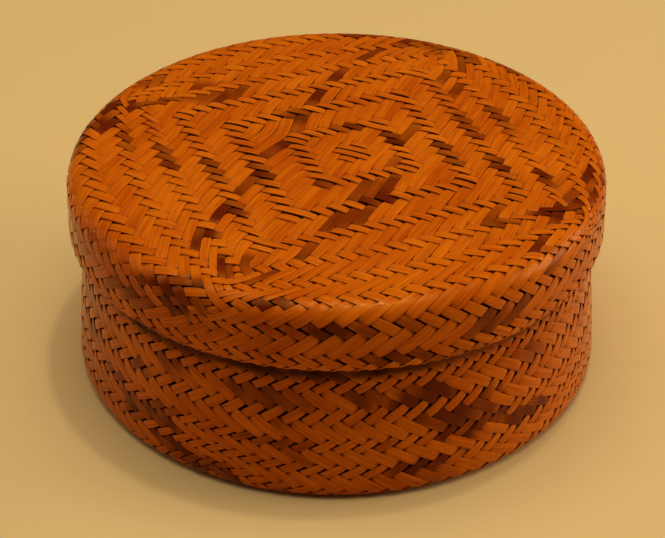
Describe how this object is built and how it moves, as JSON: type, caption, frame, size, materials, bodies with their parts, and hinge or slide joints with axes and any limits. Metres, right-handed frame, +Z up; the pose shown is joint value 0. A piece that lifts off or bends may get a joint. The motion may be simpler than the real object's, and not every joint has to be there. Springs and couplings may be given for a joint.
{
  "type": "lidded plaited basket",
  "caption": "Round lidded basket of plaited split cane with double walls; the deep cap lid slides down over the box's neck and lifts straight off.",
  "frame": {"origin": "centre of the underside, on the surface the basket stands on", "axes": "+Z up along the axis of the basket, the way the lid lifts; -Y towards the side that faces the viewer"},
  "size_m": [0.1706, 0.1706, 0.0714],
  "materials": {
    "outer_cane": "smooth split cane, orange-brown, satin sheen, with scattered dark red-brown strips",
    "lining_cane": "smooth split cane, duller and browner than outside",
    "folded_edge_cane": "split cane folded over the edge, polished by handling"
  },
  "bodies": {
    "box": {"box_outer_plait": "outer_cane", "box_lining": "lining_cane", "box_rim_fold": "folded_edge_cane"},
    "lid": {"lid_outer_plait": "outer_cane", "lid_lining": "lining_cane", "lid_rim_fold": "folded_edge_cane"}
  },
  "joints": [
    {"name": "lid_lift", "type": "slide", "parent": "box", "child": "lid", "axis": [0, 0, 1], "range_m": [0, 0.08]}
  ]
}
